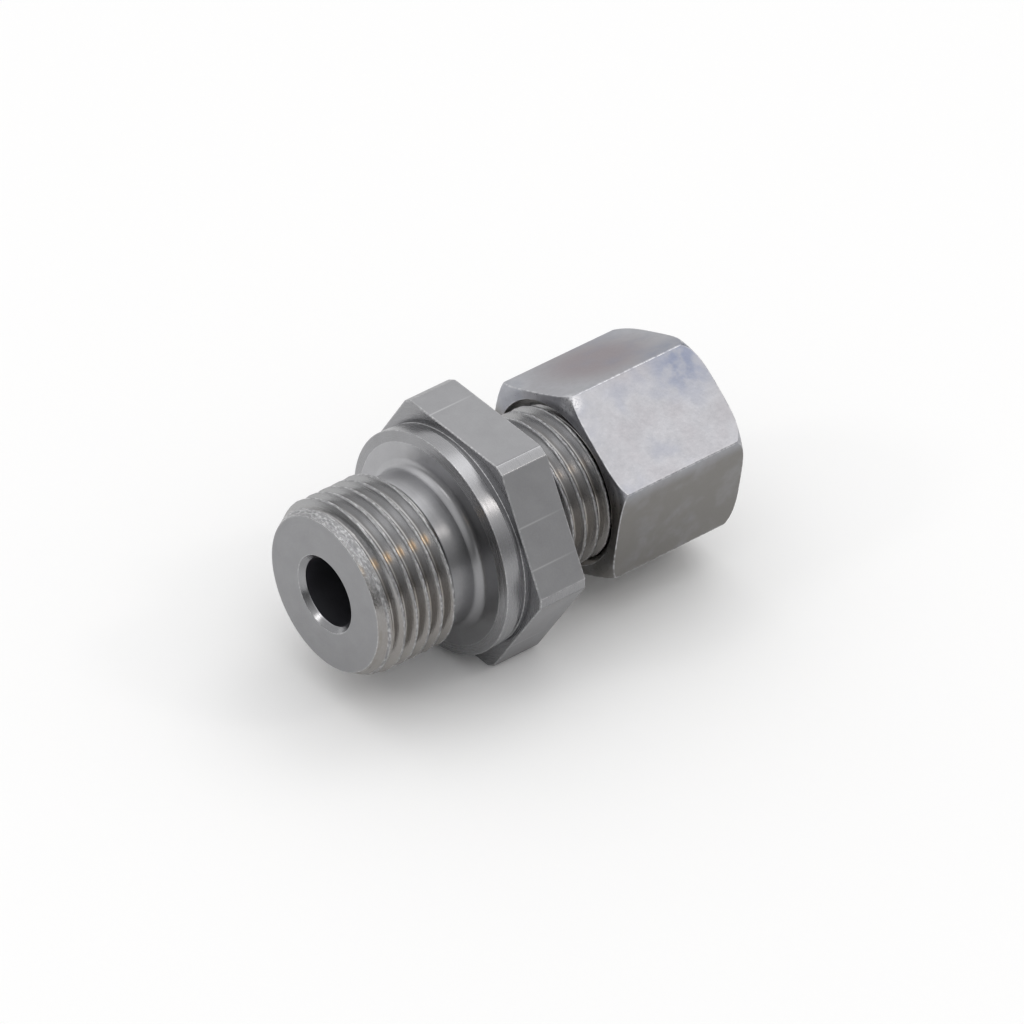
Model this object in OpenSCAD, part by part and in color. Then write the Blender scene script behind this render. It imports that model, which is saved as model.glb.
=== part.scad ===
// Straight male stud fitting with a cone seat, a cutting ring and a union nut.
// The axis is X. The origin is on the axis in the plane of the sealing face:
// the stud points to -X, the tube end to +X, and a flat of the hexagon faces up.

/* [Stud end] */
// Major diameter of the stud thread
stud_d = 18; // [16.5:0.25:20]
// Length from the sealing face to the end of the stud
stud_len = 12.6; // [9:0.2:18]
// Radial height of the lead-in chamfer at the stud's end
stud_chamfer = 1.05; // [0.4:0.05:1.4]
// Angle of that chamfer, from the axis
stud_chamfer_angle = 30; // [20:5:45]
// Depth of the thread relief below the thread's crest
relief_depth = 1.15; // [0.9:0.05:1.6]
// Length of the thread relief, from the last thread to the sealing face
relief_len = 4.1; // [2.6:0.1:5]
// Radius of the fillet between the relief and the sealing face
relief_fillet = 0.9; // [0.5:0.1:1.2]

/* [Collar] */
// Diameter of the collar
collar_d = 23; // [21.5:0.25:24]
// Thickness of the collar at its rim
collar_w = 1.9; // [1.6:0.1:3]
// Radial width of the shallow bevel round the sealing face
bevel_w = 1.1; // [0.4:0.1:1.6]
// Height of that bevel along the axis
bevel_h = 0.2; // [0.05:0.05:0.4]
// Small chamfer on the rim's rear edge
rim_chamfer = 0.1; // [0.05:0.05:0.15]
// Width of the neck between the collar and the hexagon
neck_w = 0.6; // [0.4:0.1:1.5]
// Depth of the neck below the collar's rim
neck_depth = 0.2; // [0.15:0.05:0.6]

/* [Hexagon of the body] */
// Size across the flats of the body's hexagon
hex_af = 24; // [22:0.5:27]
// Length of the hexagon along the axis
hex_w = 5.5; // [4:0.25:10]
// Radial height that is turned off the hexagon's sharp corners
hex_corner = 0.3; // [0.1:0.05:0.6]

/* [Bore] */
// Diameter of the flow bore
bore_d = 7; // [4:0.25:8]
// Size of the countersink where the bore meets the stud's end
bore_chamfer = 0.52; // [0.2:0.02:0.8]

/* [Tube end] */
// Outside diameter of the tube that the fitting takes
tube_d = 10; // [9.5:0.1:10.4]
// Major diameter of the thread for the union nut
end_thread_d = 16; // [15.5:0.25:17]
// Length from the hexagon to the end of the body
end_len = 12.4; // [11:0.2:18]
// Width of the groove beside the hexagon where the thread runs out
groove_w = 1.8; // [1:0.1:2.6]
// Depth of that groove below the thread's crest
groove_depth = 1; // [0.6:0.05:1.3]
// Size of the chamfer on the thread's free end
end_chamfer = 0.7; // [0.3:0.05:0.9]
// Full angle of the cone seat
cone_angle = 24; // [22:0.5:26]
// Diameter of the cone seat at its mouth
mouth_d = 12.3; // [12:0.1:13]
// Depth of the tube's stop below the mouth
socket_depth = 7; // [6.6:0.1:9]
// Radial clearance round the tube in its socket
socket_clear = 0.05; // [0.03:0.01:0.1]

/* [Cutting ring] */
// Length of the ring
ring_len = 9.8; // [8.8:0.1:10.6]
// Wall of the ring at its cutting tip
ring_tip_wall = 0.5; // [0.4:0.05:0.6]
// Half angle of the ring's nose
ring_nose_angle = 8; // [5:0.5:10]
// Diameter of the ring's stop collar
ring_collar_d = 13; // [12.8:0.1:13.4]
// Radial clearance between the ring's edges and the tube
ring_clear = 0.06; // [0.05:0.01:0.1]
// Distance from the first cutting edge to the second
edge_pitch = 1.8; // [1.4:0.1:2.4]
// Depth of the relief behind each cutting edge
edge_relief = 0.22; // [0.1:0.02:0.3]
// Radial wall left at the ring's rear end
ring_rear_wall = 0.45; // [0.3:0.05:0.6]

/* [Union nut] */
// Size across the flats of the nut
nut_af = 18.8; // [18.5:0.1:21]
// Length of the nut
nut_len = 15.5; // [14.6:0.1:18]
// Turn of the nut's hexagon about the axis when hand-tight, in degrees
nut_angle = 6.4; // [0:0.2:60]
// Depth of the tube hole's inner end below the nut's front face
nut_shoulder = 12.45; // [11.8:0.05:13.4]
// Diameter of the flat face that the rounding leaves in front
nut_front_d = 18.4; // [17.8:0.1:18.6]
// Diameter of the flat face that the rounding leaves at the rear
nut_rear_d = 18.4; // [16:0.1:18.6]
// Length of the rounding over the front corners
nut_front_round = 0.95; // [0.5:0.05:1.5]
// Length of the rounding over the rear corners
nut_rear_round = 1.9; // [0.8:0.1:2.6]
// Length of the nut's internal thread
nut_thread_len = 9.4; // [7:0.1:10]
// Height of the nut's internal thread, below its major diameter
nut_thread_depth = 0.8; // [0.7:0.05:1]
// Size of the chamfer at the mouth of the nut's thread
nut_mouth_chamfer = 0.5; // [0.2:0.05:0.6]
// Size of the chamfer round the tube hole at the nut's rear face
nut_hole_chamfer = 0.4; // [0.2:0.05:0.8]

/* [Fits] */
// Radial running clearance between the two threads
thread_clear = 0.05; // [0.03:0.01:0.1]
// Axial gap that hand-tightening leaves at each end of the ring
seat_gap = 0.06; // [0.04:0.01:0.1]
// Radial clearance between the tube and the nut's tube hole
nut_hole_clear = 0.15; // [0.1:0.01:0.3]

/* [Hidden] */

$fn = 96;
STEEL = [0.56, 0.56, 0.57];
ZINC = [0.72, 0.72, 0.74];
DARK_STEEL = [0.42, 0.43, 0.44];
// Overlap of a cut past the face that it opens
CUT = 1;
// Height of the nut's rounding past the hexagon's corners, which keeps them sharp
PAST_CORNER = 0.05;
// Angle between the points of a rounded end
ROUND_STEP = 15;

// Stations along the axis, in the order of the body's features
stud_end_x = -stud_len;
collar_x = collar_w;
hex_x = collar_x + neck_w;
hex_end_x = hex_x + hex_w;
end_x = hex_end_x + end_len;

// Radii of the body
stud_r = stud_d / 2;
relief_r = stud_r - relief_depth;
collar_r = collar_d / 2;
seal_r = collar_r - bevel_w;
neck_r = collar_r - neck_depth;
hex_r = hex_af / 2 / cos(30);
end_r = end_thread_d / 2;
groove_r = end_r - groove_depth;
bore_r = bore_d / 2;
socket_r = tube_d / 2 + socket_clear;
mouth_r = mouth_d / 2;
cone_slope = tan(cone_angle / 2);

// The ring sits where its tip meets the cone seat
ring_edge_r = tube_d / 2 + ring_clear;
ring_tip_r = ring_edge_r + ring_tip_wall;
ring_collar_r = ring_collar_d / 2;
ring_rear_r = ring_edge_r + ring_rear_wall;
ring_x = end_x - (mouth_r - ring_tip_r) / cone_slope + seat_gap;
ring_end_x = ring_x + ring_len;

// The nut sits where its 45 degree shoulder meets the ring's rear end
nut_hole_r = tube_d / 2 + nut_hole_clear;
nut_thread_r = end_r + thread_clear;
nut_r = nut_af / 2 / cos(30);
nut_x = ring_end_x + seat_gap - (nut_shoulder - (ring_rear_r - nut_hole_r));
// The ring's chamber goes on at the minor radius of the nut's thread
nut_chamber_r = nut_thread_r - nut_thread_depth;

// Solid of revolution about X through points given as [x, radius].
module turned(points) {
    rotate([0, 90, 0])
        rotate_extrude()
            polygon([for (p = points) [p[1], p[0]]]);
}

// Hexagonal bar along X; at turn 0 two of its corners point up and down.
module hex_bar(r, x0, x1, turn) {
    translate([x0, 0, 0])
        rotate([0, 90, 0])
            rotate([0, 0, turn])
                cylinder(r = r, h = x1 - x0, $fn = 6);
}

// Stud from its chamfered end to the thread relief, running on inside the collar.
module stud() {
    turned([
        [stud_end_x, 0],
        [stud_end_x, stud_r - stud_chamfer],
        [stud_end_x + stud_chamfer / tan(stud_chamfer_angle), stud_r],
        [-relief_len, stud_r],
        [-relief_len + relief_depth / 2, relief_r],
        [collar_x, relief_r],
        [collar_x, 0]
    ]);
}

// Collar with the flat sealing face, the bevel round it and the neck behind it.
module collar() {
    turned([
        [0, 0],
        [0, seal_r],
        [bevel_h, collar_r],
        [collar_x - rim_chamfer, collar_r],
        [collar_x, collar_r - rim_chamfer],
        [collar_x, neck_r],
        [hex_x + CUT, neck_r],
        [hex_x + CUT, 0]
    ]);
}

// Fillet in the corner between the relief and the sealing face.
module relief_foot() {
    rotate([0, 90, 0])
        rotate_extrude()
            difference() {
                translate([bore_r, -relief_fillet])
                    square([relief_r + relief_fillet - bore_r, relief_fillet + CUT]);
                translate([relief_r + relief_fillet, -relief_fillet])
                    circle(r = relief_fillet);
            }
}

// Hexagon with its sharp corners turned down.
module body_hexagon() {
    intersection() {
        hex_bar(hex_r, hex_x, hex_end_x, 30);
        turned([
            [hex_x - CUT, 0],
            [hex_x - CUT, hex_r - hex_corner],
            [hex_end_x + CUT, hex_r - hex_corner],
            [hex_end_x + CUT, 0]
        ]);
    }
}

// Threaded tube end with the run-out groove beside the hexagon.
module tube_end() {
    turned([
        [hex_end_x - CUT, 0],
        [hex_end_x - CUT, groove_r],
        [hex_end_x + groove_w, groove_r],
        [hex_end_x + groove_w + groove_depth / 2, end_r],
        [end_x - end_chamfer, end_r],
        [end_x, end_r - end_chamfer],
        [end_x, 0]
    ]);
}

// Flow bore with its countersink, the tube's socket and the cone seat.
module body_bores() {
    turned([
        [stud_end_x - CUT, 0],
        [stud_end_x - CUT, bore_r + bore_chamfer + CUT],
        [stud_end_x + bore_chamfer, bore_r],
        [end_x - socket_depth, bore_r],
        [end_x - socket_depth, socket_r],
        [end_x - (mouth_r - socket_r) / cone_slope, socket_r],
        [end_x + CUT, mouth_r + CUT * cone_slope],
        [end_x + CUT, 0]
    ]);
}

// Body of the fitting, turned from one hexagonal bar.
module stud_body() {
    color(STEEL)
        difference() {
            union() {
                stud();
                collar();
                relief_foot();
                body_hexagon();
                tube_end();
            }
            body_bores();
        }
}

// Ring with two inner cutting edges, a stop collar and a 45 degree rear end.
module cutting_ring() {
    nose_end_x = end_x + 2 * seat_gap;
    nose_r = ring_tip_r + (nose_end_x - ring_x) * tan(ring_nose_angle);
    relief = ring_edge_r + edge_relief;
    rear_chamfer = ring_collar_r - ring_rear_r;
    bore_rear_r = ring_edge_r + seat_gap / 2;
    color(DARK_STEEL)
        turned([
            [ring_x, ring_edge_r],
            [ring_x, ring_tip_r],
            [nose_end_x, nose_r],
            [nose_end_x, ring_collar_r],
            [ring_end_x - rear_chamfer, ring_collar_r],
            [ring_end_x, ring_rear_r],
            [ring_end_x, bore_rear_r],
            [ring_x + 2 * edge_pitch, bore_rear_r],
            [ring_x + 2 * edge_pitch - edge_relief, relief],
            [ring_x + edge_pitch + 2 * edge_relief, relief],
            [ring_x + edge_pitch, ring_edge_r],
            [ring_x + edge_pitch, relief],
            [ring_x + 2 * edge_relief, relief]
        ]);
}

// Rounding from a flat face of radius face_r at face_x up to outer_r, as [x, radius].
function rounded_end(face_x, face_r, round_len, outer_r) =
    [for (turn = [0 : ROUND_STEP : 90])
        [face_x + round_len * (1 - cos(turn)), face_r + (outer_r - face_r) * sin(turn)]];

// Outer form of the nut: a hexagon with both ends rounded by turning.
module nut_outside() {
    nut_end_x = nut_x + nut_len;
    outer_r = nut_r + PAST_CORNER;
    front = rounded_end(nut_x, nut_front_d / 2, nut_front_round, outer_r);
    rear = rounded_end(nut_end_x, nut_rear_d / 2, -nut_rear_round, outer_r);
    intersection() {
        hex_bar(nut_r, nut_x, nut_end_x, nut_angle);
        turned(concat(
            [[nut_x, 0]],
            front,
            [for (i = [len(rear) - 1 : -1 : 0]) rear[i]],
            [[nut_end_x, 0]]
        ));
    }
}

// Space inside the nut: thread, ring chamber, 45 degree shoulder and tube hole.
module nut_inside() {
    shoulder_x = nut_x + nut_shoulder;
    nut_end_x = nut_x + nut_len;
    turned([
        [nut_x - CUT, 0],
        [nut_x - CUT, nut_thread_r + nut_mouth_chamfer + CUT],
        [nut_x + nut_mouth_chamfer, nut_thread_r],
        [nut_x + nut_thread_len, nut_thread_r],
        [nut_x + nut_thread_len, nut_chamber_r],
        [shoulder_x - (nut_chamber_r - nut_hole_r), nut_chamber_r],
        [shoulder_x, nut_hole_r],
        [nut_end_x - nut_hole_chamfer, nut_hole_r],
        [nut_end_x + CUT, nut_hole_r + nut_hole_chamfer + CUT],
        [nut_end_x + CUT, 0]
    ]);
}

// Union nut that draws the ring into the cone seat.
module union_nut() {
    color(ZINC)
        difference() {
            nut_outside();
            nut_inside();
        }
}

stud_body();
cutting_ring();
union_nut();
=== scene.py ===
"""Straight male stud fitting: a turned steel body, its cutting ring and the union nut.

The axis of the fitting is X. The sealing face of the collar lies at x = 0, the stud
points to -X and one flat of the body's hexagon faces up. Lengths are in metres.
"""

import math
from collections import namedtuple

import bpy
import numpy as np
from bpy.props import FloatProperty, FloatVectorProperty, PointerProperty
from mathutils import Matrix, Vector


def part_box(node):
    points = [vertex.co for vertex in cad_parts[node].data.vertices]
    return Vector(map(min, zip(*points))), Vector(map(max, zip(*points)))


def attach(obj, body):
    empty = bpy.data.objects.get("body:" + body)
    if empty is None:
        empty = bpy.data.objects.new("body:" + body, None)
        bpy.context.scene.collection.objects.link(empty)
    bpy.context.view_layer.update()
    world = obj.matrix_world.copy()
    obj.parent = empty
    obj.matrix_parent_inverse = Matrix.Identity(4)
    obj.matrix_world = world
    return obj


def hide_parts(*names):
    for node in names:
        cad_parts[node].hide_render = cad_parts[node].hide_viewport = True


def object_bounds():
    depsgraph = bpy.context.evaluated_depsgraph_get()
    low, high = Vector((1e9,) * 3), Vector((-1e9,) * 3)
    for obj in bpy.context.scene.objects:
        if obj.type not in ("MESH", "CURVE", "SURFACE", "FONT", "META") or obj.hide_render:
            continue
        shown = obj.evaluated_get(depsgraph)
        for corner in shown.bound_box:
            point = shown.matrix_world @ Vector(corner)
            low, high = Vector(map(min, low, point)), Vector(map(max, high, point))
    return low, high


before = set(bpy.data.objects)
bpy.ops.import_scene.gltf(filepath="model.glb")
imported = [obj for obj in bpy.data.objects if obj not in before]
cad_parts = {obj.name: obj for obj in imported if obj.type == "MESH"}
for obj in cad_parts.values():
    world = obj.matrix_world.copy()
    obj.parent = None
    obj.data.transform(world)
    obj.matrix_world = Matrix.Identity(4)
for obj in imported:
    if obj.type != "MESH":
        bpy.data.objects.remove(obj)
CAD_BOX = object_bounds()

bl_info = {
    "name": "Straight Stud Fitting",
    "version": (1, 0, 0),
    "blender": (4, 5, 0),
    "location": "View3D > Sidebar > Fitting",
    "description": "Builds a straight male stud fitting with its cutting ring and union nut",
    "category": "Add Mesh",
}

MM = 0.001
# Rows beside a rounded edge, which keep the shading of the faces next to it flat
SUPPORT = 0.05 * MM
# Rows of the mesh in one pitch of a thread
THREAD_ROWS = 20
# Edges rounded by less than this count as worn edges
WORN_EDGE = 0.3 * MM
# Largest turn of a rounded edge from one row to the next
ARC_STEP = math.radians(24)
# Degrees from an edge of a hexagon to the column that keeps the flat's shading flat
BODY_NEAR, NUT_NEAR = 0.35, 0.3
# Rounding of the outside threads' crests and roots, and of the nut's thread
CREST_BLEND, ROOT_BLEND, NUT_BLEND = 0.03 * MM, 0.14 * MM, 0.05 * MM
# Half of a crest's rough band, from where it is full to where it ends
CREST_BAND = (0.06 * MM, 0.18 * MM)
# The stud's rough first turn, from its end, from where it begins to where it is full
FIRST_TURN = (2.4 * MM, 0.9 * MM)
FLANK_SLOPE = math.tan(math.radians(60))
COS30 = math.cos(math.radians(30))
# Wear of the threads' crests: the slow wear, the fine burrs, and more burrs at the stud's end
CREST_WEAR, CREST_BURR, FIRST_BURR = 0.014 * MM, 0.012 * MM, 0.02 * MM

# Places on the finishes are in millimetres on the object, and directions round the axis are in
# degrees from up towards the viewer. Lines that the drawing die left on the body's flats: the
# flat's direction, and the line's place across the flat
DIE_LINES = ((0, -3.5), (60, -0.9), (60, 3.35), (120, 2.1), (180, -2.6), (240, 1.4), (300, -1.8))
# What is further out than this on a flat's own direction lies on the flat
ON_FLAT = 11.9
# Direction in which the small light stands in the thread's roots
LIGHT_TURN = math.radians(40)
# The worn lead-in of the stud, along the axis, and the countersink, along and from the axis
LEAD_IN = (-11.0, -11.6)
COUNTERSINK_X, COUNTERSINK_R = (-11.9, -12.0), (4.12, 4.06)
# Middles of the nut's rosy and blue films and of its chipped corner, whose bright worn zinc is
# also a painted highlight
ROSE_AT, BLUE_AT, CHIPS_AND_GLINT_AT = (23.5, 4.4, 9.2), (28.4, -2.4, 9.9), (15.8, -1.35, 10.0)

# The lights: name, direction towards it, its width in degrees, its strength's name, its tint
SUNS = (
    ("soft_box", (0.50, 0.12, 0.86), 28, "key", (1.0, 1.0, 1.0)),
    ("small_light", (0.52, -0.51, 0.69), 9, "spot", (1.0, 0.95, 0.9)),
    ("side_light", (-0.76, 0.20, 0.60), 10, "side", (1.0, 0.98, 0.96)),
)
# Where the floor's share begins to fall towards the viewer, and where it has fallen
FLOOR_FALL = (-4 * MM, -24 * MM)

BODY_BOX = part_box("stud_body")
RING_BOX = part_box("cutting_ring")
NUT_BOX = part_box("union_nut")


def length(name, description, default):
    """A length in metres that the sidebar shows."""
    return FloatProperty(name=name, description=description, default=default,
                         unit="LENGTH", precision=5)


def angle(name, description, degrees):
    """An angle that the sidebar shows in degrees."""
    return FloatProperty(name=name, description=description, default=math.radians(degrees),
                         subtype="ANGLE")


def number(name, description, default, low=0.0, high=10.0):
    """A plain number."""
    return FloatProperty(name=name, description=description, default=default,
                         min=low, max=high)


def colour(name, description, default):
    """A linear colour."""
    return FloatVectorProperty(name=name, description=description, default=default,
                               subtype="COLOR", size=3, min=0.0, max=1.0)


class FITTING_PG_body(bpy.types.PropertyGroup):
    """Sizes of the turned body"""

    stud_d: length("Stud thread", "Major diameter of the stud thread", 18 * MM)
    stud_len: length("Stud length", "From the sealing face to the stud's end", -BODY_BOX[0].x)
    stud_chamfer: length("Stud chamfer", "Radial height of the lead-in chamfer", 1.05 * MM)
    stud_angle: angle("Stud chamfer angle", "Lead-in chamfer, from the axis", 30)
    pitch: length("Pitch", "Pitch of both threads", 1.5 * MM)
    stud_start: length("Stud thread start", "Place of a crest at turn zero", 1.10 * MM)
    end_start: length("End thread start", "Place of a crest at turn zero", 11.97 * MM)
    crest_w: length("Crest width", "Width of the flat on a thread's crest", 0.20 * MM)
    thread_depth: length("Thread depth", "From crest to root of both threads", 0.92 * MM)
    relief_depth: length("Relief depth", "Thread relief below the crest", 1.15 * MM)
    relief_len: length("Relief length", "From the last thread to the sealing face", 4.1 * MM)
    relief_fillet: length("Relief fillet", "Between the relief and the sealing face", 0.9 * MM)
    collar_d: length("Collar", "Diameter of the collar", 23 * MM)
    collar_w: length("Collar width", "Thickness of the collar's rim", 1.9 * MM)
    bevel_w: length("Bevel width", "Bevel round the sealing face, radially", 1.1 * MM)
    bevel_h: length("Bevel height", "Bevel round the sealing face, along the axis", 0.2 * MM)
    neck_w: length("Neck width", "Between the collar and the hexagon", 0.6 * MM)
    neck_depth: length("Neck depth", "Neck below the collar's rim", 0.2 * MM)
    hex_af: length("Hexagon", "Across the flats of the hexagon", 24 * MM)
    hex_w: length("Hexagon width", "Along the axis", 5.5 * MM)
    hex_corner: length("Hexagon corner", "Radial height turned off the corners", 0.3 * MM)
    bore_d: length("Bore", "Diameter of the flow bore", 7 * MM)
    bore_chamfer: length("Bore chamfer", "Countersink of the bore", 0.52 * MM)
    end_d: length("End thread", "Major diameter of the tube-side thread", 16 * MM)
    end_chamfer: length("End chamfer", "Chamfer on the thread's free end", 0.7 * MM)
    groove_w: length("Groove width", "Groove beside the hexagon", 1.8 * MM)
    groove_depth: length("Groove depth", "Groove below the thread's crest", 1 * MM)
    tube_d: length("Tube", "Outside diameter of the tube", 10 * MM)
    socket_clear: length("Socket clearance", "Radial clearance round the tube", 0.05 * MM)
    socket_depth: length("Socket depth", "Tube's stop below the mouth", 7 * MM)
    mouth_d: length("Mouth", "Diameter of the cone seat at its mouth", 12.3 * MM)
    cone_angle: angle("Cone", "Full angle of the cone seat", 24)


class FITTING_PG_ring(bpy.types.PropertyGroup):
    """Sizes of the cutting ring"""

    edge_r: length("Edge radius", "Radius of the cutting edges", 5.06 * MM)
    tip_wall: length("Tip wall", "Wall at the cutting tip", 0.5 * MM)
    nose_angle: angle("Nose", "Half angle of the ring's nose", 8)
    nose_len: length("Nose length", "From the tip to the stop collar", 2.836 * MM)
    collar_d: length("Stop collar", "Diameter of the stop collar", 13 * MM)
    edge_pitch: length("Edge pitch", "From the first cutting edge to the second", 1.8 * MM)
    edge_relief: length("Edge relief", "Relief behind each cutting edge", 0.22 * MM)
    rear_wall: length("Rear wall", "Radial wall at the rear end", 0.45 * MM)
    bore_clear: length("Bore clearance", "Bore beyond the cutting edges", 0.03 * MM)


class FITTING_PG_nut(bpy.types.PropertyGroup):
    """Sizes of the union nut"""

    nut_af: length("Hexagon", "Across the flats", 18.8 * MM)
    nut_turn: angle("Turn", "Turn of a corner from straight up", 6.4)
    shoulder: length("Shoulder", "Tube hole's inner end below the front face", 12.45 * MM)
    front_d: length("Front face", "Diameter that the front rounding leaves", 18.4 * MM)
    rear_d: length("Rear face", "Diameter that the rear rounding leaves", 18.4 * MM)
    front_round: length("Front rounding", "Along the axis, over the corners", 0.95 * MM)
    rear_round: length("Rear rounding", "Along the axis, over the corners", 1.9 * MM)
    past_corner: length("Past the corner", "Height of the roundings past the corners", 0.05 * MM)
    thread_len: length("Thread length", "Length of the internal thread", 9.4 * MM)
    thread_r: length("Thread radius", "Radius at the thread's root", 8.05 * MM)
    thread_crest_r: length("Thread crest radius", "Radius at the thread's crest", 7.22 * MM)
    thread_gap: length("Thread gap", "Axial gap beside each flank", 0.04 * MM)
    mouth_chamfer: length("Mouth chamfer", "Chamfer at the thread's mouth", 0.5 * MM)
    chamber_r: length("Chamber", "Radius of the ring's chamber", 7.25 * MM)
    hole_r: length("Tube hole", "Radius of the tube hole", 5.15 * MM)
    hole_chamfer: length("Hole chamfer", "Chamfer round the tube hole", 0.4 * MM)
    corner_round: length("Corner round", "Rounding of the hexagon's corners", 0.22 * MM)


class FITTING_PG_finish(bpy.types.PropertyGroup):
    """Colours of the finishes"""

    steel: colour("Body steel", "Satin turned steel", (0.335, 0.335, 0.345))
    ring: colour("Ring steel", "Dark hardened steel", (0.20, 0.205, 0.215))
    zinc: colour("Nut zinc", "Bright zinc plate", (0.394, 0.398, 0.424))
    thread: colour("Thread steel", "Bright cut flanks of the threads", (0.43, 0.43, 0.435))
    # Colour of the darker roots: partly an oily film, partly painted shade that deepens lower down
    valley: colour("Thread roots", "Oily film in the thread's roots", (0.29, 0.267, 0.243))
    # Painted highlight: the warm glint of the small light in the thread's roots
    glint: colour("Oil spots", "Yellowish oil in the roots, where the light stands in them",
                (0.56, 0.44, 0.31))
    rubbed: colour("Rubbed crests", "Bright dashes on the crests and the lead-in",
                   (0.64, 0.64, 0.65))
    unrubbed: colour("Crests between", "Dull steel between those dashes", (0.28, 0.28, 0.29))
    worn: colour("Worn edges", "Bare steel of the body's edges", (0.60, 0.60, 0.61))
    # Painted shade: a dark colour on the bore's wall, where little light reaches
    bore: colour("Bore", "Dark wall of the bore", (0.20, 0.20, 0.225))
    ring_worn: colour("Ring's edges", "Bare steel of the ring's edges", (0.45, 0.45, 0.46))
    film_blue: colour("Blue film", "Bluish passivation on the nut", (0.225, 0.248, 0.325))
    film_rose: colour("Rose film", "Rosy passivation on the nut", (0.285, 0.252, 0.268))
    # Painted shade on the nut's lower faces, a brownish grey
    lower_shade_tint: colour("Brown film", "Brownish passivation on the nut", (0.245, 0.237, 0.226))
    zinc_worn: colour("Nut's edges", "Bright zinc on the nut's edges", (0.66, 0.66, 0.68))
    # Painted shade: a dark colour in the nut's bores, where little light reaches
    zinc_bore_shade: colour("Nut's inside", "Dull zinc in the nut's bores", (0.22, 0.22, 0.23))


class FITTING_PG_stage(bpy.types.PropertyGroup):
    """Camera, floor and light"""

    azimuth: angle("Azimuth", "Camera's direction round the object", -41.1)
    elevation: angle("Elevation", "Camera's height angle", 38.4)
    roll: angle("Roll", "Camera's turn about its own axis", 2.45)
    distance: length("Distance", "From the camera to the object", 900 * MM)
    target_x: length("Target X", "Point that the camera looks at", 10.27 * MM)
    target_z: length("Target Z", "Point that the camera looks at", -1.10 * MM)
    lens: number("Focal length", "In millimetres on a 36 mm sensor", 332.8, 10, 1000)
    floor: colour("Floor", "Pale floor as the object mirrors it", (0.88, 0.88, 0.88))
    floor_front: number("Floor in front", "Its share of the floor's colour", 0.90, 0, 1)
    backdrop: colour("Backdrop", "Floor as the camera sees it", (0.99, 0.99, 0.99))
    key: number("Soft box", "Strength of the large soft light", 0.17)
    spot: number("Small light", "Strength of the small light", 0.115)
    side: number("Side light", "Strength of the light on the stud's side", 0.12)


Corner = namedtuple("Corner", "x r fillet step finish")
FINISHES = ("turned", "faced", "thread", "shine", "drawn", "bored")
# Rows of a stretch with one of these finishes are even, with none close to its ends
EVEN = ("thread", "round")


def unit(v):
    """Vectors of the last axis at length one."""
    return v / np.linalg.norm(v, axis=-1, keepdims=True)


def soft_min(a, b, blend):
    """The lesser of a and b, rounded where they cross.

    With h = 1/2 + (b - a) / (2 blend), held from 0 to 1, it is b + h (a - b) - blend h (1 - h).
    """
    h = np.clip(0.5 + 0.5 * (b - a) / blend, 0, 1)
    return b + h * (a - b) - blend * h * (1 - h)


def soft_max(a, b, blend):
    """The greater of a and b, rounded where they cross."""
    return -soft_min(-a, -b, blend)


def smooth_step(low, high, value):
    """Zero below low, one above high, and 3 t^2 - 2 t^3 between them."""
    t = np.clip((value - low) / (high - low), 0, 1)
    return t * t * (3 - 2 * t)


def sector_turns(flat_turn, stops):
    """Directions of the mesh's columns round the axis, in radians.

    stops are pairs (degrees from a flat's middle, columns up to the next stop) over one
    sector of 60 degrees, and the same pattern is repeated for all six sectors.
    """
    ends = [s[0] for s in stops[1:]] + [stops[0][0] + 60]
    parts = [np.linspace(a, b, n, endpoint=False) for (a, n), b in zip(stops, ends)]
    sector = np.concatenate(parts)
    return np.radians(flat_turn + (sector + 60 * np.arange(6)[:, None]).ravel())


def from_flat(turn, flat_turn):
    """Angle of each direction from the middle of its nearest flat, in radians."""
    sixth = math.pi / 3
    return (turn - flat_turn + sixth / 2) % sixth - sixth / 2


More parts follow.
